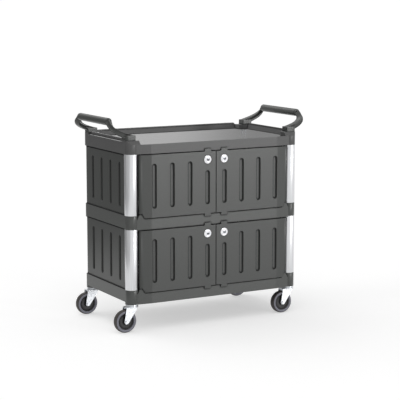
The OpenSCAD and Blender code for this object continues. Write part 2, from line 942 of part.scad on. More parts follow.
// Fixed panel across the back, with tabs screwed to the skirts
module back_panel(span, corner_top) {
    height = span[1] - span[0];
    edge_x = post_x - door_wall;
    rail_x = hinge_x + door_wall;
    corner_h = corner_top + seat_gap - span[0] + over;
    color(plastic_c)
        difference() {
            union() {
                for (side = [0, 1])
                    mirror([side, 0, 0])
                        difference() {
                            back_slab(span[0], height, 0, door_back_y, edge_x);
                            back_slab(span[0] + door_wall, height - 2 * door_wall, door_wall,
                                door_back_y - over, rail_x);
                        }
                for (side = [0, 1])
                    mirror([side, 0, 0])
                        tabs(back_screws, span)
                            translate([0, skirt_y, 0])
                                cube([tab_w, door_y - skirt_y, door_gap + 2 * tab_lap]);
                at_back_slots(span)
                    slot_back(door_slot_len(1, span));
            }
            at_back_slots(span)
                slot_cut(door_slot_len(1, span));
            for (sx = [-1, 1], x = back_screws, z = back_screw_levels(span))
                translate([sx * x, skirt_y - over, z])
                    rotate([-90, 0, 0])
                        cylinder(h = wall + lock_reach + over, r = screw_r + seat_gap / 2);
            for (sx = [-1, 1])
                translate([sx * post_x, post_y, span[0] - over]) {
                    cylinder(h = height + 2 * over, r = wrap_r + seat_gap);
                    cylinder(h = corner_h, r = post_r + seat_gap);
                    translate([-post_r / 2, 0, 0])
                        cube([post_r, 2 * post_r, corner_h]);
                }
        }
}

function back_screw_levels(span) =
    [high_screw_z(span[0] - door_gap), low_screw_z(span[1] + door_gap)];

// Half of the back panel, from the middle to its edge
module back_slab(z0, height, inset, back_y, edge_x) {
    y = door_y - inset;
    fall = (edge_x - facet_x) * tan(facet_angle);
    translate([0, 0, z0])
        linear_extrude(height)
            polygon([
                [0, back_y], [0, y], [facet_x, y], [edge_x, y - fall], [edge_x, back_y]]);
}

// Runs its children at each slot of a back panel
module at_back_slots(span) {
    for (sx = [-1, 1], i = [0:door_slots - 1])
        translate([sx * door_slot_x(i), door_y, door_slot_z(1, span)])
            rotate([-90, 0, 0])
                children();
}

module panel_screws() {
    color(metal_c)
        for (span = [lower_door, upper_door], z = back_screw_levels(span),
            sx = [-1, 1], x = back_screws)
            translate([sx * x, door_y, z])
                rotate([-90, 0, 0]) {
                    cylinder(h = lock_reach, r1 = screw_head_r, r2 = screw_head_r / 2);
                    translate([0, 0, -screw_len])
                        cylinder(h = screw_len + over, r = screw_r);
                }
}

// Centre line of a handle arm: a Bezier curve from inside the foot to the grip's end
arm_points = [
    [foot_x + arm_t / 2, foot_y, rim_z + arm_t / 2 + over],
    [end_x - wall, foot_y, rim_z + arm_t],
    [grip_x + arm_bow, foot_y, (rim_z + grip_z) / 2],
    [grip_x, grip_len / 2, grip_z]];
function bezier(p, t) =
    pow(1 - t, 3) * p[0] + 3 * t * pow(1 - t, 2) * p[1]
    + 3 * t * t * (1 - t) * p[2] + pow(t, 3) * p[3];
function bezier_slope(p, t) =
    pow(1 - t, 2) * (p[1] - p[0]) + 2 * t * (1 - t) * (p[2] - p[1]) + t * t * (p[3] - p[2]);
function unit(v) = v / norm(v);

// The arm's open section: a shallow recess outside, a deep channel towards the grip
function arm_section(a, b, t) = [
    [a, b], [a, b - t], [a - t, b - t * 3 / 2], [a - t, t * 3 / 2 - b], [a, t - b],
    [a, -b], [-a, -b], [-a, t - b], [a - t * 2, t - b], [a - t * 2, b - t],
    [-a, b - t], [-a, b]];

// Corners of that section joined into triangles: one flange, the web, the other flange
arm_cap_faces = [
    [9, 10, 11], [9, 11, 0], [9, 0, 1],
    [9, 1, 2], [9, 2, 3], [9, 3, 8], [8, 3, 4],
    [8, 4, 5], [8, 5, 6], [8, 6, 7]];

// The arm as one swept skin, its inner side turned to a point over the tray
module arm(steps = 18) {
    facing = [foot_x, foot_y, cart_height + handle_rise];
    flange = wall;
    w_taper_share = 1 / 3;
    t_taper_share = 1 / 6;
    rings = [for (i = [0:steps])
        let (
            t = i / steps,
            p = bezier(arm_points, t),
            along = unit(bezier_slope(arm_points, t)),
            in_raw = facing - p,
            inner = unit(in_raw - (in_raw * along) * along),
            outer = cross(inner, along),
            half_w = arm_w / 2 * (1 - w_taper_share * t),
            half_t = arm_t / 2 * (1 - t_taper_share * t))
        for (q = arm_section(half_w, half_t, flange))
            p + q[0] * outer + q[1] * inner];
    n = 12;
    sides = [for (i = [0:steps - 1], j = [0:n - 1])
        let (a = i * n + j, b = i * n + (j + 1) % n)
        each [[a, b, b + n], [a, b + n, a + n]]];
    cap_0 = [for (f = arm_cap_faces) [f[2], f[1], f[0]]];
    cap_1 = [for (f = arm_cap_faces) [for (j = f) steps * n + j]];
    polyhedron(points = rings, faces = concat(cap_0, sides, cap_1), convexity = 6);
}

// A foot on the tray's corner, with a rounded outer corner
module foot() {
    corner_r = foot_h / 2;
    w = end_x - foot_x;
    translate([foot_x, foot_in_y, rim_z]) {
        cube([w, foot_w - corner_r, foot_h]);
        cube([w - corner_r, foot_w, foot_h]);
        translate([w - corner_r, foot_w - corner_r, 0])
            cylinder(h = foot_h, r = corner_r);
    }
}

module handle_right() {
    color(plastic_c) {
        translate([grip_x, 0, grip_z])
            rotate([90, 0, 0])
                rotate_extrude($fn = 96)
                    polygon([
                        [0, -grip_len / 2], [grip_r - wall, -grip_len / 2],
                        [grip_r, wall - grip_len / 2], [grip_r, grip_len / 2 - wall],
                        [grip_r - wall, grip_len / 2], [0, grip_len / 2]]);
        for (side = [0, 1])
            mirror([0, side, 0])
                difference() {
                    union() {
                        arm();
                        foot();
                    }
                    for (sx = [-1, 1])
                        translate([post_x + sx * bolt_spread, foot_y, rim_z - over])
                            cylinder(h = bolt_len - corner_top_t + 2 * over, r = bolt_r + run_gap);
                }
    }
}

module handle_left() {
    mirror([1, 0, 0])
        handle_right();
}

module handle_bolts() {
    color(metal_c)
        at_posts(y = foot_y)
            for (side = [-1, 1])
                translate([side * bolt_spread, 0, rim_z - corner_top_t]) {
                    translate([0, 0, -bolt_head_t])
                        cylinder(h = bolt_head_t, r = bolt_head_r);
                    cylinder(h = bolt_len, r = bolt_r);
                }
}

// Threaded stem and upper race, held by the cart; the rivet keeps the fork on
module caster_stem(sx, sy) {
    rivet_r = stem_d * 3 / 4;
    rivet_t = 3;
    stem_r = stem_d / 2;
    color(metal_c)
        translate([sx * post_x, sy * post_y, 0]) {
            translate([0, 0, caster_h - race_t])
                rotate_extrude($fn = 96)
                    polygon([
                        [0, 0], [head_d / 2 - race_t / 2, 0], [head_d / 2, race_t / 2],
                        [head_d / 2, race_t], [0, race_t]]);
            translate([0, 0, crown_z - fork_t - head_gap - rivet_t])
                cylinder(h = caster_h + stem_len - crown_z + fork_t + head_gap + rivet_t, r = stem_r);
            translate([0, 0, crown_z - fork_t - head_gap - rivet_t])
                cylinder(h = rivet_t, r = rivet_r);
        }
}

module stem_nuts() {
    color(metal_c)
        at_posts()
            translate([0, 0, bottom_z + stem_floor_t])
                difference() {
                    cylinder(h = nut_t, r = nut_r, $fn = 6);
                    translate([0, 0, -over])
                        cylinder(h = nut_t + 2 * over, r = stem_d / 2 + run_gap / 2);
                }
}

// Pressed fork: a crown with the lower race, and two legs that lean back to the axle
module caster_fork(sx, sy) {
    end_r = axle_head_r + wall;
    root_x = [-trail, head_d / 4];
    root_z = crown_z - fork_t * 2;
    color(chrome_c)
        translate([sx * post_x, sy * post_y, 0])
            difference() {
                union() {
                    translate([0, 0, crown_z])
                        rotate_extrude($fn = 96)
                            polygon([
                                [0, 0], [head_d / 2, 0], [head_d / 2, race_t / 2],
                                [head_d / 2 - race_t / 2, race_t], [0, race_t]]);
                    translate([0, 0, crown_z - fork_t])
                        cylinder(h = fork_t + over, r = head_d / 2);
                    translate([-trail, -leg_y - fork_t, crown_z - fork_t])
                        cube([trail + head_d / 4, 2 * (leg_y + fork_t), fork_t]);
                    for (side = [-1, 1])
                        translate([0, side > 0 ? leg_y + fork_t : -leg_y, 0])
                            rotate([90, 0, 0])
                                linear_extrude(fork_t) {
                                    polygon([
                                        [root_x[0], crown_z], [root_x[1], crown_z],
                                        [root_x[1], root_z - fork_t * 2],
                                        [end_r * cos(30) - trail, axle_z - end_r * sin(30)],
                                        [-end_r - trail, axle_z]]);
                                    translate([-trail, axle_z])
                                        circle(end_r);
                                }
                }
                translate([0, 0, crown_z - fork_t - over])
                    cylinder(h = race_t + fork_t + 2 * over, r = stem_d / 2 + run_gap);
                translate([-trail, leg_y + fork_t + over, axle_z])
                    rotate([90, 0, 0])
                        cylinder(h = 2 * (leg_y + fork_t + over), r = axle_d / 2 + run_gap);
            }
}

// Axle bolt with a hex head on the near side and a nut on the far side
module caster_axle(sx, sy) {
    reach = leg_y + fork_t;
    color(metal_c)
        translate([sx * post_x - trail, sy * post_y, axle_z])
            rotate([90, 0, 0]) {
                translate([0, 0, -reach - axle_head_t - over])
                    cylinder(h = 2 * reach + axle_head_t + over, r = axle_d / 2);
                translate([0, 0, reach])
                    cylinder(h = axle_head_t, r = axle_head_r, $fn = 6);
                translate([0, 0, -reach - axle_head_t])
                    cylinder(h = axle_head_t, r = axle_head_r, $fn = 6);
            }
}

// Wheel centre, a turned profile with a dished web
module wheel_hub(sx, sy) {
    half = wheel_w / 2;
    boss_r = axle_head_r + wall;
    rim_r = hub_d / 2;
    color(hub_c)
        translate([sx * post_x - trail, sy * post_y, axle_z])
            rotate([90, 0, 0])
                rotate_extrude($fn = 96)
                    polygon([
                        [axle_d / 2 + run_gap, -half - fork_gap / 2],
                        [boss_r, -half - fork_gap / 2], [boss_r + wall / 2, -half / 2],
                        [rim_r - 2 * wall, -half / 2], [rim_r - wall, -half * 3 / 4],
                        [rim_r, -half * 3 / 4], [rim_r, half * 3 / 4],
                        [rim_r - wall, half * 3 / 4], [rim_r - 2 * wall, half / 2],
                        [boss_r + wall / 2, half / 2], [boss_r, half + fork_gap / 2],
                        [axle_d / 2 + run_gap, half + fork_gap / 2]]);
}

// Tyre with a flat tread and round shoulders
module wheel_tyre(sx, sy) {
    half = wheel_w / 2;
    r = wheel_d / 2;
    shoulder = half / 2;
    color(tyre_c)
        translate([sx * post_x - trail, sy * post_y, axle_z])
            rotate([90, 0, 0])
                rotate_extrude($fn = 96)
                    difference() {
                        union() {
                            translate([hub_d / 2, -half])
                                square([r - shoulder - hub_d / 2, wheel_w]);
                            translate([hub_d / 2, shoulder - half])
                                square([r - hub_d / 2, wheel_w - 2 * shoulder]);
                            for (side = [-1, 1])
                                translate([r - shoulder, side * (half - shoulder)])
                                    circle(shoulder);
                        }
                        translate([0, -half - over])
                            square([hub_d / 2, wheel_w + 2 * over]);
                    }
}

top_tray();
middle_shelf();
bottom_shelf();
post(bottom_top_z, -1, -1);  // post_lower_fl
post(bottom_top_z, 1, -1);  // post_lower_fr
post(bottom_top_z, -1, 1);  // post_lower_bl
post(bottom_top_z, 1, 1);  // post_lower_br
post(middle_top_z, -1, -1);  // post_upper_fl
post(middle_top_z, 1, -1);  // post_upper_fr
post(middle_top_z, -1, 1);  // post_upper_bl
post(middle_top_z, 1, 1);  // post_upper_br
handle_left();
handle_right();
handle_bolts();
end_panel(bottom_top_z, middle_z, end_skirt_lift[1], -1);  // panel_lower_left
end_panel(bottom_top_z, middle_z, end_skirt_lift[1], 1);  // panel_lower_right
back_panel(lower_door, bottom_top_z);  // panel_lower_back
end_panel(middle_top_z, tray_z, end_skirt_lift[2], -1);  // panel_upper_left
end_panel(middle_top_z, tray_z, end_skirt_lift[2], 1);  // panel_upper_right
back_panel(upper_door, middle_top_z);  // panel_upper_back
panel_screws();
door(lower_door, -1);  // door_lower_left
door(lower_door, 1);  // door_lower_right
door(upper_door, -1);  // door_upper_left
door(upper_door, 1);  // door_upper_right
hinge_pins();
lock_barrel(lower_door, -1);  // lock_barrel_lower_left
lock_barrel(lower_door, 1);  // lock_barrel_lower_right
lock_barrel(upper_door, -1);  // lock_barrel_upper_left
lock_barrel(upper_door, 1);  // lock_barrel_upper_right
lock_plug(lower_door, -1);  // lock_plug_lower_left
lock_plug(lower_door, 1);  // lock_plug_lower_right
lock_plug(upper_door, -1);  // lock_plug_upper_left
lock_plug(upper_door, 1);  // lock_plug_upper_right
lock_cam(lower_door, -1);  // lock_cam_lower_left
lock_cam(lower_door, 1);  // lock_cam_lower_right
lock_cam(upper_door, -1);  // lock_cam_upper_left
lock_cam(upper_door, 1);  // lock_cam_upper_right
caster_stem(-1, -1);  // caster_stem_fl
caster_stem(1, -1);  // caster_stem_fr
caster_stem(-1, 1);  // caster_stem_bl
caster_stem(1, 1);  // caster_stem_br
caster_fork(-1, -1);  // caster_fork_fl
caster_fork(1, -1);  // caster_fork_fr
caster_fork(-1, 1);  // caster_fork_bl
caster_fork(1, 1);  // caster_fork_br
caster_axle(-1, -1);  // caster_axle_fl
caster_axle(1, -1);  // caster_axle_fr
caster_axle(-1, 1);  // caster_axle_bl
caster_axle(1, 1);  // caster_axle_br
wheel_hub(-1, -1);  // wheel_hub_fl
wheel_hub(1, -1);  // wheel_hub_fr
wheel_hub(-1, 1);  // wheel_hub_bl
wheel_hub(1, 1);  // wheel_hub_br
wheel_tyre(-1, -1);  // wheel_tyre_fl
wheel_tyre(1, -1);  // wheel_tyre_fr
wheel_tyre(-1, 1);  // wheel_tyre_bl
wheel_tyre(1, 1);  // wheel_tyre_br
stem_nuts();
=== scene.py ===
# %% [markdown]
# # Dining cart
#
# A moulded service cart: a sunken tray on top, two cupboards with slotted doors, round aluminium
# posts at the corners, two handles and four swivel casters. The mechanical model comes in as a
# fixed frame. This notebook adds what the eye needs: rounded edges, real finishes, and the few
# pieces whose shape is too soft for plain solids.

# %% Load the frame
import json
import math

import bmesh
import bpy
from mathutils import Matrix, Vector


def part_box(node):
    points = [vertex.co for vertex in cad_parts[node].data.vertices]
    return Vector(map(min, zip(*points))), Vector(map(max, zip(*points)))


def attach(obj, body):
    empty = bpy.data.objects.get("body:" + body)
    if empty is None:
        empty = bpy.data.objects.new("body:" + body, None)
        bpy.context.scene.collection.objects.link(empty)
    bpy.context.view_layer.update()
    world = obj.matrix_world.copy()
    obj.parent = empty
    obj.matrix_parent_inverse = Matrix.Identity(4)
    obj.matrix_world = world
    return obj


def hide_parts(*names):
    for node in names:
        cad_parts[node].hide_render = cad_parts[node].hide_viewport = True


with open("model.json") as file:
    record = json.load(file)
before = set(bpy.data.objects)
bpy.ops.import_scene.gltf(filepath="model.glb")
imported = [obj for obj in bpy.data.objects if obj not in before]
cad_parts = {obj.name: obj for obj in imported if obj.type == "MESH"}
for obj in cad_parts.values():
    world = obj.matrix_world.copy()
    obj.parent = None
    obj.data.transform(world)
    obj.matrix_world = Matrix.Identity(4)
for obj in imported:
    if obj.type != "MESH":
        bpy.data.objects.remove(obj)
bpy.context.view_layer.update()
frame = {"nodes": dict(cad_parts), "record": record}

nodes = frame["nodes"]

# %% [markdown]
# ## Camera
#
# The photograph is taken with a long lens from the front left, a little above the tray. The turn,
# the tilt and the distance were matched to the cart's corners, so the camera stays put and the
# cart isn't moved to suit it.

# %% Camera
CAMERA_PLACE = (-3.0648, -5.6463, 1.5112)
CAMERA_TURN = math.radians(28.9)
CAMERA_TILT = math.radians(8.6)
FIELD_OF_VIEW = math.radians(16.475)
SENSOR_MM = 36

camera_data = bpy.data.cameras.new("camera")
camera_data.sensor_width = SENSOR_MM
camera_data.lens = SENSOR_MM / 2 / math.tan(FIELD_OF_VIEW / 2)
camera = bpy.data.objects.new("camera", camera_data)
camera.location = CAMERA_PLACE
camera.rotation_euler = (math.radians(90) - CAMERA_TILT, 0, -CAMERA_TURN)
bpy.context.scene.collection.objects.link(camera)
bpy.context.scene.camera = camera
bpy.context.scene.view_settings.view_transform = "Standard"
print("camera: lens", round(camera_data.lens, 1), "mm")

# %% [markdown]
# ## Helpers for every material
#
# Colours are written as the hex values that a screen shows. Blender counts light in linear
# values, so one function turns hex into linear. Another adds a node, sets its options and fills
# or links its inputs, so that a material reads as a short list of nodes.

# %% Helpers for colours and nodes
MM = 0.001


def linear(hex_colour):
    """The linear RGBA of a colour such as "#646664", by the curve that defines sRGB."""
    def channel(start):
        value = int(hex_colour[start:start + 2], 16) / 255
        return value / 12.92 if value <= 0.04045 else ((value + 0.055) / 1.055) ** 2.4
    return (channel(1), channel(3), channel(5), 1)


def add_node(tree, kind, options=None, numbered=None, **named):
    """Adds a node, sets its options, and fills its inputs with values or links.

    Inputs go by name, or by number where several share a name."""
    node = tree.nodes.new(kind)
    for name, value in (options or {}).items():
        setattr(node, name, value)
    inputs = dict(numbered or {})
    inputs.update({name.replace("_", " "): value for name, value in named.items()})
    for key, value in inputs.items():
        socket = node.inputs[key]
        if isinstance(value, bpy.types.NodeSocket):
            tree.links.new(value, socket)
        else:
            socket.default_value = value
    return node


def new_material(name):
    """An empty node material and its tree."""
    material = bpy.data.materials.new(name)
    material.use_nodes = True
    material.node_tree.nodes.clear()
    return material, material.node_tree


WHITE = linear("#ffffff")
print("white in linear values:", WHITE)

# %% [markdown]
# ## Helpers for every mesh
#
# Each new shape starts as a bmesh, Blender's mesh for editing, and operators such as extrude and
# spin build it up. An operator hands back everything that it made, so one function picks out its
# corners or its edges. Another turns a finished bmesh into an object.

# %% Helpers for meshes


def only(kind, geometry):
    """The corners, edges or faces among what an operator made."""
    return [item for item in geometry if isinstance(item, kind)]


def add_object(name, bm, materials):
    """Makes an object of a finished bmesh, with its materials, and puts it in the scene."""
    mesh = bpy.data.meshes.new(name)
    bm.to_mesh(mesh)
    bm.free()
    for material in materials:
        mesh.materials.append(material)
    made = bpy.data.objects.new(name, mesh)
    bpy.context.scene.collection.objects.link(made)
    return made


# %% [markdown]
# ## World, floor and lamps
#
# The floor and the background are white to the eye and in reflections, but they light the cart
# no more than plain studio walls would. The Light Path node tells the two apart. A low, wide
# lamp from the front right gives the doors their even sheen, and three soft lamps keep the top,
# the left end and the back readable.

# %% World
AMBIENT = 0.42


def seen_directly(tree):
    """1 for a ray from the eye, a mirror image or clear glass, and 0 for gathered light."""
    path = add_node(tree, "ShaderNodeLightPath")
    seen = path.outputs["Is Camera Ray"]
    for kind in ("Is Glossy Ray", "Is Transmission Ray"):
        either = add_node(tree, "ShaderNodeMath", {"operation": "MAXIMUM"},
                          {0: seen, 1: path.outputs[kind]})
        seen = either.outputs[0]
    return seen


def make_world():
    """White where it is looked at, and a plain ambient light everywhere else."""
    world = bpy.data.worlds.new("studio")
    world.use_nodes = True
    tree = world.node_tree
    tree.nodes.clear()
    walls = add_node(tree, "ShaderNodeBackground", Color=WHITE, Strength=AMBIENT)
    white = add_node(tree, "ShaderNodeBackground", Color=WHITE, Strength=1)
    mix = add_node(tree, "ShaderNodeMixShader",
                   numbered={0: seen_directly(tree), 1: walls.outputs[0], 2: white.outputs[0]})
    add_node(tree, "ShaderNodeOutputWorld", Surface=mix.outputs[0])
    return world


bpy.context.scene.world = make_world()
print("world: ambient", AMBIENT)

# %% Floor
FLOOR_SIZE = 600
FLOOR_GLOW = 0.5


def make_floor():
    """A wide pale floor that looks white, and keeps a soft shadow under the cart."""
    material, tree = new_material("white studio floor")
    glow = add_node(tree, "ShaderNodeMath", {"operation": "MULTIPLY"},
                    {0: seen_directly(tree), 1: FLOOR_GLOW})
    paint = add_node(tree, "ShaderNodeBsdfDiffuse", Color=linear("#d6d6d6"))
    shine = add_node(tree, "ShaderNodeEmission", Color=WHITE, Strength=glow.outputs[0])
    both = add_node(tree, "ShaderNodeAddShader",
                    numbered={0: paint.outputs[0], 1: shine.outputs[0]})
    add_node(tree, "ShaderNodeOutputMaterial", Surface=both.outputs[0])
    bm = bmesh.new()
    bmesh.ops.create_grid(bm, x_segments=1, y_segments=1, size=FLOOR_SIZE / 2)
    floor = add_object("floor", bm, [material])
    return floor


make_floor()
print("floor:", FLOOR_SIZE, "m wide")

# %% Lamps
# Name, azimuth and elevation in degrees, strength, and width in degrees. Azimuth 0 shines from
# the front, and 90 from the right.
LAMPS = (
    ("front_right_lamp", 29, 2.5, 1.0, 8),
    ("top_lamp", -20, 62, 0.5, 40),
    ("back_lamp", 200, 50, 0.5, 40),
    ("left_lamp", -100, 25, 0.5, 40))


def add_lamp(name, azimuth, elevation, strength, width):
    """A far soft lamp."""
    data = bpy.data.lights.new(name, "SUN")
    data.energy = strength
    data.angle = math.radians(width)
    lamp = bpy.data.objects.new(name, data)
    a, e = math.radians(azimuth), math.radians(elevation)
    source = Vector((math.sin(a) * math.cos(e), -math.cos(a) * math.cos(e), math.sin(e)))
    lamp.rotation_euler = source.to_track_quat("Z", "Y").to_euler()
    bpy.context.scene.collection.objects.link(lamp)
    return lamp


print("lamps:", [add_lamp(*row).name for row in LAMPS])

# %% [markdown]
# ## Cards that only metal and gloss can see
#
# A product photographer stands grey cards beside bright metal, because metal shows nothing but
# its surroundings: between white walls only, a tube looks flat. The cards here are hidden from
# the camera and cast no shadow. Each fades from one grey to another along its length, so its
# edge doesn't draw a line on the tube.

# %% Grey cards
CARD_HEIGHT = 2.2
# Name, the two ends on the floor in metres, and the grey at each end.
CARDS = (
    ("left_card", (-1.3, -0.9), (-1.3, 1.5), 0.58, 0.2),
    ("rear_left_card", (-1.3, 1.5), (-0.4, 2.0), 0.2, 0.7),
    ("rear_right_card", (0.6, 1.5), (1.3, 1.5), 1.0, 0.45),
    ("far_right_card", (1.3, 1.5), (3.0, 1.5), 0.45, 0.7))


def mirror_card(name, bm, material):
    """Puts a card in the studio that nothing but a reflection sees."""
    material.cycles.emission_sampling = "NONE"
    card = add_object(name, bm, [material])
    card.visible_camera = False
    card.visible_diffuse = False
    card.visible_shadow = False
    card.visible_transmission = False
    return card


def raise_edges(bm, edges, height):
    """Draws a wall up from some edges, or down where the height is negative."""
    raised = bmesh.ops.extrude_edge_only(bm, edges=edges)["geom"]
    bmesh.ops.translate(bm, verts=only(bmesh.types.BMVert, raised), vec=(0, 0, height))


def add_card(name, start, end, grey_start, grey_end):
    """An upright card between two places on the floor, whose grey fades along it."""
    material, tree = new_material(name + " paper")
    length = math.dist(start, end)
    along = ((end[0] - start[0]) / length, (end[1] - start[1]) / length, 0)
    where = add_node(tree, "ShaderNodeTexCoord")
    offset = add_node(tree, "ShaderNodeVectorMath", {"operation": "SUBTRACT"},
                      {0: where.outputs["Object"], 1: (start[0], start[1], 0)})
    reach = add_node(tree, "ShaderNodeVectorMath", {"operation": "DOT_PRODUCT"},
                     {0: offset.outputs[0], 1: along})
    grey = add_node(tree, "ShaderNodeMapRange", {"interpolation_type": "SMOOTHSTEP"},
                    Value=reach.outputs["Value"], From_Max=length,
                    To_Min=grey_start, To_Max=grey_end)
    shine = add_node(tree, "ShaderNodeEmission", Color=WHITE, Strength=grey.outputs[0])
    add_node(tree, "ShaderNodeOutputMaterial", Surface=shine.outputs[0])
    bm = bmesh.new()
    edge = bm.edges.new([bm.verts.new((x, y, 0)) for x, y in (start, end)])
    raise_edges(bm, [edge], CARD_HEIGHT)
    return mirror_card(name, bm, material)


print("cards:", [add_card(*row).name for row in CARDS])

# %% [markdown]
# ## An uneven finish
#
# No real surface has one colour and one gloss all over. A noise, whose values lie mostly around
# the middle, is stretched to run from 0 to 1, and drives both the colour and the roughness of
# each finish from one end to the other.

# %% A helper for uneven finishes
NOISE_LOW, NOISE_HIGH = 0.3, 0.7


def uneven(tree, noise, dark, light, rough):
    """The colour and the roughness of a finish, each between two ends, following a noise."""
    share = add_node(tree, "ShaderNodeMapRange", Value=noise.outputs["Fac"],
                     From_Min=NOISE_LOW, From_Max=NOISE_HIGH)
    colour = add_node(tree, "ShaderNodeMix", {"data_type": "RGBA"},
                      {0: share.outputs[0], 6: linear(dark), 7: linear(light)})
    roughness = add_node(tree, "ShaderNodeMapRange", Value=share.outputs[0],
                         To_Min=rough[0], To_Max=rough[1])
    return colour.outputs[2], roughness.outputs[0]


# %% [markdown]
# ## Moulded plastic
#
# The cart is polypropylene, moulded against a spark-eroded mould that leaves a fine, even grain.
# That gives the eye a satin dark grey with a soft sheen at low angles. The grain is about 1 mm,
# finer than a pixel of the photograph, so a second, coarser mottle stands in for it at 5 mm.
# The shelves are a lighter copy of the same plastic, the tray is the smoothest, and the wheel
# centres are black.
#
# Grooves and seams get painted shade in their colour, and they are duller too, as dust gathers
# there. The Ambient Occlusion node tells how open a place is, and so where the painted shade and
# the dust lie. The tray's deck is rubbed smooth by what stands on it, while its upright sides
# keep their grain, and the normal tells these two apart.

# %% Where the dust and the painted shade lie, and which faces look up
OPEN_FROM, OPEN_FULL = 0.8, 0.97
OPEN_SAMPLES = 8
STEEP, LEVEL = 0.5, 0.95


def openness(tree, reach_mm):
    """1 on open faces, and 0 deep in a groove or a seam."""
    seen = add_node(tree, "ShaderNodeAmbientOcclusion", {"samples": OPEN_SAMPLES},
                    Distance=reach_mm * MM)
    share = add_node(tree, "ShaderNodeMapRange", {"interpolation_type": "SMOOTHSTEP"},
                     Value=seen.outputs["AO"], From_Min=OPEN_FROM, From_Max=OPEN_FULL)
    return share.outputs[0]


def upward(tree):
    """1 on faces that look up, and 0 on steep ones."""
    facing = add_node(tree, "ShaderNodeNewGeometry")
    parts = add_node(tree, "ShaderNodeSeparateXYZ", Vector=facing.outputs["Normal"])
    share = add_node(tree, "ShaderNodeMapRange", Value=parts.outputs["Z"],
                     From_Min=STEEP, From_Max=LEVEL)
    return share.outputs[0]


# %% Plastic materials
PLASTIC_IOR = 1.49
MOTTLE_MM = 5
GRAIN_MM = 1.2
GRAIN_DEPTH_MM = 0.05
GRAIN_STRENGTH = 0.5
# How dark the painted shade makes the colour deep in a groove or a seam.
PAINTED_SHADE_DARK = 0.12
DUST_ROUGH = 0.75


def moulded_plastic(name, dark, light, rough, dust_and_shade_mm, painted_shade_dark=PAINTED_SHADE_DARK, side_rough=None):
    """Satin moulded polypropylene with a fine grain, and painted shade and dull dust in its
    grooves.

    With side_rough, only the faces that look up are as smooth as rough says."""
    material, tree = new_material(name)
    where = add_node(tree, "ShaderNodeTexCoord").outputs["Object"]
    mottle = add_node(tree, "ShaderNodeTexNoise", Vector=where,
                      Scale=1 / (MOTTLE_MM * MM), Detail=3)
    grain = add_node(tree, "ShaderNodeTexNoise", Vector=where,
                     Scale=1 / (GRAIN_MM * MM), Detail=2)
    relief = add_node(tree, "ShaderNodeBump", Height=grain.outputs["Fac"],
                      Distance=GRAIN_DEPTH_MM * MM, Strength=GRAIN_STRENGTH)
    colour, roughness = uneven(tree, mottle, dark, light, rough)
    if side_rough:
        roughness = add_node(tree, "ShaderNodeMapRange", Value=upward(tree),
                             To_Min=side_rough, To_Max=roughness).outputs[0]
    # Painted shade: the colour darkens where a groove or a seam closes a place in, and dust makes
    # the same places duller.
    unshaded_and_clean = openness(tree, dust_and_shade_mm)
    shade = add_node(tree, "ShaderNodeMapRange", Value=unshaded_and_clean, To_Min=painted_shade_dark)
    painted_shade_colour = add_node(tree, "ShaderNodeMix", {"data_type": "RGBA", "blend_type": "MULTIPLY"},
                     {0: 1, 6: colour, 7: shade.outputs[0]})
    dull = add_node(tree, "ShaderNodeMapRange", Value=unshaded_and_clean, To_Min=DUST_ROUGH, To_Max=roughness)
    shader = add_node(tree, "ShaderNodeBsdfPrincipled", IOR=PLASTIC_IOR,
                      Base_Color=painted_shade_colour.outputs[2], Roughness=dull.outputs[0],
                      Normal=relief.outputs[0])
    add_node(tree, "ShaderNodeOutputMaterial", Surface=shader.outputs[0])
    return material


# The reach in mm says how far from a groove the painted shade and the dust go.
cart_plastic = moulded_plastic("grained polypropylene", "#393b39", "#3d3f3d",
                               rough=(0.32, 0.35), dust_and_shade_mm=9)
shelf_plastic = moulded_plastic("lighter polypropylene", "#484a48", "#4c4e4c",
                                rough=(0.31, 0.34), dust_and_shade_mm=9)
tray_plastic = moulded_plastic("smooth polypropylene", "#4e4e4e", "#525252",
                               rough=(0.24, 0.27), dust_and_shade_mm=6, painted_shade_dark=0.4, side_rough=0.42)
wheel_plastic = moulded_plastic("black polypropylene", "#0c0c0d", "#101011",
                                rough=(0.42, 0.5), dust_and_shade_mm=6)
print("plastics:", cart_plastic.name, shelf_plastic.name, tray_plastic.name, wheel_plastic.name)

# %% [markdown]
# ## Metals
#
# The posts are extruded aluminium tubes, satin anodised: the die leaves faint lines along the
# tube, so their noise is drawn out upwards. The casters are pressed steel with bright zinc
# plating, a little bluish and uneven. The locks are polished chrome around a satin nickel plug.
# Blackened steel makes the hinge pins, and its dark colour also paints the keyways as painted
# shade in place of a slot's shaded inside; both show as dull dark lines.

# %% Metal materials
PLATE_DEPTH_MM = 0.02
PLATE_STRENGTH = 0.4


def plated_metal(name, dark, light, rough, size_mm, stretch=(1, 1, 1), depth_mm=PLATE_DEPTH_MM):
    """A metal with uneven tone and roughness, drawn out along an axis by stretch."""
    material, tree = new_material(name)
    where = add_node(tree, "ShaderNodeTexCoord").outputs["Object"]
    drawn = add_node(tree, "ShaderNodeMapping", Vector=where, Scale=stretch)
    patches = add_node(tree, "ShaderNodeTexNoise", Vector=drawn.outputs[0],
                       Scale=1 / (size_mm * MM), Detail=3)
    relief = add_node(tree, "ShaderNodeBump", Height=patches.outputs["Fac"],
                      Distance=depth_mm * MM, Strength=PLATE_STRENGTH)
    colour, roughness = uneven(tree, patches, dark, light, rough)
    shader = add_node(tree, "ShaderNodeBsdfPrincipled", Metallic=1, Base_Color=colour,
                      Roughness=roughness, Normal=relief.outputs[0])
    add_node(tree, "ShaderNodeOutputMaterial", Surface=shader.outputs[0])
    return material


post_aluminium = plated_metal("satin anodised aluminium", "#cfd0d2", "#dfe0e2",
                              rough=(0.28, 0.36), size_mm=1.5, stretch=(1, 1, 0.02))
zinc_steel = plated_metal("bright zinc plated steel", "#cacdd1", "#e0e2e5",
                          rough=(0.26, 0.38), size_mm=6)
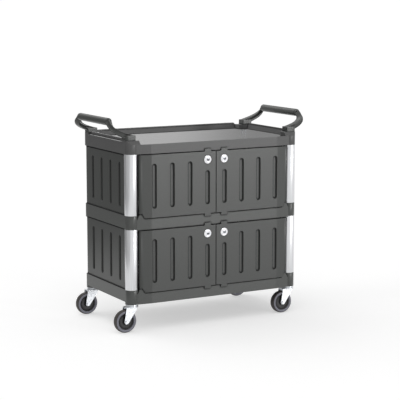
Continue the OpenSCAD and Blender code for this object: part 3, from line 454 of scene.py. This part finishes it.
# Dark steel for the hinge pins, whose colour on the keyways is painted shade.
dark_steel_and_slot_shade = plated_metal("blackened steel and keyway shade", "#26262a", "#323236", rough=(0.4, 0.5), size_mm=3)
lock_chrome = plated_metal("polished chrome", "#e6e7ea", "#f4f4f6",
                           rough=(0.06, 0.1), size_mm=12, depth_mm=0.004)
plug_nickel = plated_metal("satin nickel", "#85868b", "#97989c", rough=(0.26, 0.36), size_mm=4)
print("metals:", post_aluminium.name, zinc_steel.name, dark_steel_and_slot_shade.name, lock_chrome.name,
      plug_nickel.name)

# %% [markdown]
# ## Rubber
#
# The tyres are grey thermoplastic rubber, matt, with a little dust. Their treads have the same
# finish in a darker colour: painted shade, together with the dirt that a floor leaves.

# %% Rubber materials
RUBBER_IOR = 1.5
RUBBER_ROUGH = (0.5, 0.62)
RUBBER_DUST_MM = 8
PORE_MM = 0.8
PORE_DEPTH_MM = 0.04
PORE_STRENGTH = 0.4


def matt_rubber(name, dark, light):
    """Grey rubber with fine pores and an even roughness, a little dulled by dust."""
    material, tree = new_material(name)
    where = add_node(tree, "ShaderNodeTexCoord").outputs["Object"]
    dust = add_node(tree, "ShaderNodeTexNoise", Vector=where,
                    Scale=1 / (RUBBER_DUST_MM * MM), Detail=4)
    pores = add_node(tree, "ShaderNodeTexNoise", Vector=where,
                     Scale=1 / (PORE_MM * MM), Detail=2)
    relief = add_node(tree, "ShaderNodeBump", Height=pores.outputs["Fac"],
                      Distance=PORE_DEPTH_MM * MM, Strength=PORE_STRENGTH)
    colour, roughness = uneven(tree, dust, dark, light, RUBBER_ROUGH)
    shader = add_node(tree, "ShaderNodeBsdfPrincipled", IOR=RUBBER_IOR, Base_Color=colour,
                      Roughness=roughness, Normal=relief.outputs[0])
    add_node(tree, "ShaderNodeOutputMaterial", Surface=shader.outputs[0])
    return material


tyre_rubber = matt_rubber("grey tyre rubber", "#75757e", "#84848e")
# The tread's darker colour is painted shade, together with dirt from the floor.
tread_rubber = matt_rubber("dirty tread rubber with painted shade", "#373332", "#433f3d")
print("rubber:", tyre_rubber.name, tread_rubber.name)

# %% [markdown]
# ## Finishes on the mechanical pieces
#
# Each carried-over piece keeps its mesh. A Weld modifier joins its loose triangles, and a Bevel
# modifier rounds the edges as a moulding or a pressing has them, so that edges catch the light.
# The two shelves read a little lighter than the doors, and the hinge pins are blackened.

# %% Carry over the solids
FINISHES = {
    "cart_plastic": cart_plastic,
    "tray_plastic": tray_plastic,
    "post_aluminium": post_aluminium,
    "lock_chrome": lock_chrome,
    "zinc_steel": zinc_steel,
    "tyre_rubber": tyre_rubber,
    "wheel_plastic": wheel_plastic}
OWN_FINISHES = {
    "middle_shelf": shelf_plastic,
    "bottom_shelf": shelf_plastic,
    "hinge_pins": dark_steel_and_slot_shade}
EDGE_MM = {
    "cart_plastic": 0.8,
    "tray_plastic": 1.5,
    "post_aluminium": 0.3,
    "lock_chrome": 0.3,
    "zinc_steel": 0.4,
    "tyre_rubber": 0.8,
    "wheel_plastic": 1.0}
EDGE_SEGMENTS = 2
SHARP = math.radians(28)
WELD_MM = 0.01
HANDLES = ("handle_left", "handle_right")


def coat(piece, slot):
    """Gives a carried-over solid its finish, and joins its loose triangles."""
    piece.data.materials.clear()
    piece.data.materials.append(FINISHES[slot])
    weld = piece.modifiers.new("joined", "WELD")
    weld.merge_threshold = WELD_MM * MM


def round_edges(piece, slot):
    """Rounds the sharp edges of a coated solid."""
    bevel = piece.modifiers.new("edges", "BEVEL")
    bevel.width = EDGE_MM[slot] * MM
    bevel.segments = EDGE_SEGMENTS
    bevel.limit_method = "ANGLE"
    bevel.angle_limit = SHARP
    bevel.harden_normals = True


for part in frame["record"]["subparts"]:
    if part["node"] not in HANDLES:
        coat(nodes[part["node"]], part["material_slot"])
        round_edges(nodes[part["node"]], part["material_slot"])
for name, finish in OWN_FINISHES.items():
    nodes[name].data.materials[0] = finish
print("dressed:", len(nodes) - len(HANDLES), "solids")

# %% [markdown]
# ## A deck that shows only the room
#
# In the photograph the tray's deck reflects the bright room and not the tray's own rim or the
# handles. A low view turns any smooth deck into a mirror, so without help its rear half shows a
# wide dark band. The tray and the handles are therefore left out of mirror images.

# %% Leave the rim out of mirror images
NOT_MIRRORED = ("top_tray",) + HANDLES

for name in NOT_MIRRORED:
    nodes[name].visible_glossy = False
print("left out of mirror images:", NOT_MIRRORED)

# %% [markdown]
# With the tray gone from mirror images, the upper edges of the doors and the back panels would
# reflect the bright room right through it, and the slits above them would shine. A dark card,
# a painted shade seen only in reflections, stands in for the tray's shaded hollow underside
# there. Its outline runs inside the tray's own walls.

# %% A dark card in place of the tray's underside
HOOD_CORNER_MM = [(439.2, 200), (395, 233), (325, 240.2)]
HOOD_FOOT_MM, HOOD_TOP_MM = 801.5, 837.2


# The card's dark glow is painted shade, seen in reflections only.
def make_hood():
    """A lid with walls all round, seen in reflections only."""
    outline = []
    for side_x, side_y, order in ((1, 1, 1), (-1, 1, -1), (-1, -1, 1), (1, -1, -1)):
        outline += [(side_x * x, side_y * y) for x, y in HOOD_CORNER_MM[::order]]
    bm = bmesh.new()
    lid = bm.faces.new([bm.verts.new((x * MM, y * MM, HOOD_TOP_MM * MM)) for x, y in outline])
    raise_edges(bm, lid.edges[:], (HOOD_FOOT_MM - HOOD_TOP_MM) * MM)
    material, tree = new_material("dark card paper")
    dark = add_node(tree, "ShaderNodeEmission", Color=linear("#101010"), Strength=1)
    add_node(tree, "ShaderNodeOutputMaterial", Surface=dark.outputs[0])
    return mirror_card("dark_card", bm, material)


print("dark card: faces", len(make_hood().data.polygons))

# %% [markdown]
# ## Handles
#
# A real handle comes out of one mould, so its arms flow into the feet and the grip with soft
# fillets. Those are hard to bevel where many faces meet. A voxel remesh rebuilds the whole skin
# as one even sheet instead, and a few rounds of smoothing then melt every inner corner a little.

# %% Handles
VOXEL_MM = 1.25
MELT_ROUNDS = 12
MELT_SHARE = 0.5


def melt(piece):
    """Rounds a moulded solid all over: remeshed, then smoothed."""
    skin = piece.modifiers.new("skin", "REMESH")
    skin.mode = "VOXEL"
    skin.voxel_size = VOXEL_MM * MM
    skin.use_smooth_shade = True
    soft = piece.modifiers.new("fillets", "SMOOTH")
    soft.factor = MELT_SHARE
    soft.iterations = MELT_ROUNDS


for name in HANDLES:
    coat(nodes[name], "cart_plastic")
    melt(nodes[name])
print("handles: voxels of", VOXEL_MM, "mm")

# %% [markdown]
# ## Tops of the two front corners
#
# The tray slopes down in front of each handle, right over the hollow that the post's plug leaves
# in the corner. The moulding has to stay closed there. A short disc in the hollow does it: its
# upper side is cut off along the slope, so it lies flush with the tray, but for a twentieth of
# a millimetre that keeps the two faces apart.

# %% Corner tops
HOLLOW_R_MM = 25
HOLLOW_SEGMENTS = 64
DISC_FOOT_MM, DISC_TOP_MM = 847, 856
# The slope's foot and top, each a y and a z.
SLOPE_FOOT_MM = (-238, 844)
SLOPE_TOP_MM = (-222.67, 861)
PROUD_MM = 0.05

slope_run = SLOPE_TOP_MM[0] - SLOPE_FOOT_MM[0]
slope_rise = SLOPE_TOP_MM[1] - SLOPE_FOOT_MM[1]
slope_normal = Vector((0, -slope_rise, slope_run)).normalized()


def middle_of(node):
    """The middle of a node's box."""
    low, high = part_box(node)
    return (low + high) / 2


def make_corner_top(corner):
    """A disc in the hollow above a post, cut off along the slope."""
    axis = middle_of("post_upper_" + corner)
    bm = bmesh.new()
    disc = bmesh.ops.create_circle(bm, cap_ends=True, segments=HOLLOW_SEGMENTS,
                                   radius=HOLLOW_R_MM * MM)
    bmesh.ops.translate(bm, verts=disc["verts"], vec=(axis.x, axis.y, DISC_FOOT_MM * MM))
    raised = bmesh.ops.extrude_face_region(bm, geom=bm.faces[:])["geom"]
    bmesh.ops.translate(bm, verts=only(bmesh.types.BMVert, raised),
                        vec=(0, 0, (DISC_TOP_MM - DISC_FOOT_MM) * MM))
    foot = Vector((axis.x, SLOPE_FOOT_MM[0] * MM, SLOPE_FOOT_MM[1] * MM))
    cut = bmesh.ops.bisect_plane(
        bm, geom=bm.verts[:] + bm.edges[:] + bm.faces[:],
        plane_co=foot + slope_normal * PROUD_MM * MM, plane_no=slope_normal, clear_outer=True)
    bmesh.ops.holes_fill(bm, edges=only(bmesh.types.BMEdge, cut["geom_cut"]), sides=0)
    bmesh.ops.recalc_face_normals(bm, faces=bm.faces)
    top = add_object("corner_top_" + corner, bm, [tray_plastic])
    top.visible_glossy = False
    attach(top, "root")
    return top


for corner in ("fl", "fr"):
    top = make_corner_top(corner)
    print(top.name, "faces:", len(top.data.polygons))

# %% [markdown]
# ## Turned pieces
#
# Tyres, lock rings and lock plugs are all round, so each starts as half of its section and is
# spun about its axis. The section is a few places, each a radius and a distance to the front
# along the axis. The last is joined to the first where the piece has a hole through it.

# %% A helper for turned pieces
TURN_STEPS = 72
TURN_WELD_MM = 0.001


def turned(name, section, centre, body, materials, outer_from_mm=None):
    """Spins a section in mm about an axis that points to the front, and puts it in its place.

    Faces further out than outer_from_mm take the second material."""
    bm = bmesh.new()
    points = [bm.verts.new((r * MM, -along * MM, 0)) for r, along in section]
    edges = [bm.edges.new(pair) for pair in zip(points, points[1:])]
    if section[0][0] > 0:
        edges.append(bm.edges.new((points[-1], points[0])))
    bmesh.ops.spin(bm, geom=points + edges, cent=(0, 0, 0), axis=(0, 1, 0),
                   angle=math.tau, steps=TURN_STEPS, use_merge=True)
    bmesh.ops.remove_doubles(bm, verts=bm.verts, dist=TURN_WELD_MM * MM)
    bmesh.ops.recalc_face_normals(bm, faces=bm.faces)
    for face in bm.faces:
        face.smooth = True
        middle = face.calc_center_median()
        if outer_from_mm and math.hypot(middle.x, middle.z) > outer_from_mm * MM:
            face.material_index = 1
    bmesh.ops.translate(bm, verts=bm.verts, vec=centre)
    piece = add_object(name, bm, materials)
    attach(piece, body)
    return piece


# %% [markdown]
# ## Tyres
#
# The tyre is a soft grey ring. Its sides stay clean and a little bluish, and its tread is darker,
# with painted shade as well as dirt from the floor, so the tread takes a second material. A
# shallow groove marks where the ring meets the black wheel centre.

# %% Tyres
HUB_R_MM = 37.5
TREAD_FROM_MM = 46.5
# Half of the section: out from the wheel centre, then in from the tread, each with its depth
# below the tyre's side.
TYRE_INNER_MM = [(0, 2.5), (1.5, 1), (3, 0)]
TYRE_OUTER_MM = [(8, 0), (4.5, 1.2), (1.8, 4), (0.5, 7.5), (0, 11)]

for corner in ("fl", "fr", "bl", "br"):
    node = "wheel_tyre_" + corner
    low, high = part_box(node)
    tyre_r = (high.z - low.z) / 2 / MM
    half = (high.y - low.y) / 2 / MM
    side = [(HUB_R_MM + out, half - depth) for out, depth in TYRE_INNER_MM]
    side += [(tyre_r - inward, half - depth) for inward, depth in TYRE_OUTER_MM]
    whole = side + [(r, -along) for r, along in reversed(side)]
    tyre = turned("tyre_" + corner, whole, middle_of(node), "wheel_" + corner,
                  [tyre_rubber, tread_rubber], outer_from_mm=TREAD_FROM_MM)
    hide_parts(node)
print("tyres: radius", round(tyre_r, 1), "mm, half width", round(half, 1), "mm")

# %% [markdown]
# ## Locks
#
# Each lock shows a polished ring that is domed, so it gathers the whole room into two bright
# crescents. Flat chrome would show one even patch. The plug in the middle is duller, lies a
# little deeper in the ring, and has a dark keyway. Distances along the axis count outwards from
# the door's face.

# %% Lock rings and plugs
# How far the front of a mechanical plug stands out past the door's face.
LOCK_REACH_MM = 4
RING_MM = [
    (10.1, 0.3), (10.2, 1.6), (10.8, 2.9), (11.6, 3.6), (12.8, 3.8), (14.4, 3.5), (16.0, 2.8),
    (17.4, 1.9), (18.4, 1.0), (18.9, 0.3)]
# The plug's rounded rim, in from its radius and out from the door, and the top of its dome.
PLUG_RIM_MM = [(0, 1.2), (0.8, 1.9), (2.5, 2.3)]
PLUG_TOP_MM = 2.6


def lock_place(lock):
    """Where a lock's axis meets the door's face, and the plug's radius and back end in mm."""
    low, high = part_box("lock_plug_" + lock)
    centre = (low + high) / 2
    centre.y = low.y + LOCK_REACH_MM * MM
    return centre, (high.z - low.z) / 2 / MM, (centre.y - high.y) / MM


LOCKS = ("lower_left", "lower_right", "upper_left", "upper_right")
for lock in LOCKS:
    centre, plug_r, plug_back = lock_place(lock)
    turned("lock_ring_" + lock, RING_MM, centre, "door_" + lock, [lock_chrome])
    rim = [(plug_r - inward, along) for inward, along in PLUG_RIM_MM]
    plug = turned("lock_face_" + lock,
                  [(0, plug_back), (plug_r, plug_back)] + rim + [(0, PLUG_TOP_MM)],
                  centre, "lock_" + lock, [plug_nickel])
    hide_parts("lock_plug_" + lock)
print("locks: plug radius", round(plug_r, 2), "mm, back at", round(plug_back, 1), "mm")

# %% [markdown]
# Each keyway is a dark bar with rounded edges and not a cut, because at this size the eye can't
# tell a dark bar from a dark slot: its dark colour is painted shade for the inside of a slot. It
# stands out of the plug's dome by about half a millimetre at most, and turns with it.

# %% Keyways
KEYWAY_MM = (15, 0.6, 4.4)
KEYWAY_EDGE_MM = 0.2
KEYWAY_OUT_MM = 2.5

# Each keyway's dark colour is painted shade, standing in for the shade inside a slot.
for lock in LOCKS:
    centre = lock_place(lock)[0]
    bm = bmesh.new()
    bmesh.ops.create_cube(bm, size=1)
    bmesh.ops.scale(bm, vec=Vector(KEYWAY_MM) * MM, verts=bm.verts)
    bmesh.ops.bevel(bm, geom=bm.edges[:], offset=KEYWAY_EDGE_MM * MM, segments=2, profile=0.5,
                    affect="EDGES", material=-1)
    bmesh.ops.translate(bm, verts=bm.verts, vec=centre - Vector((0, KEYWAY_OUT_MM * MM, 0)))
    keyway = add_object("keyway_" + lock, bm, [dark_steel_and_slot_shade])
    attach(keyway, "lock_" + lock)
print("keyways:", len(LOCKS))
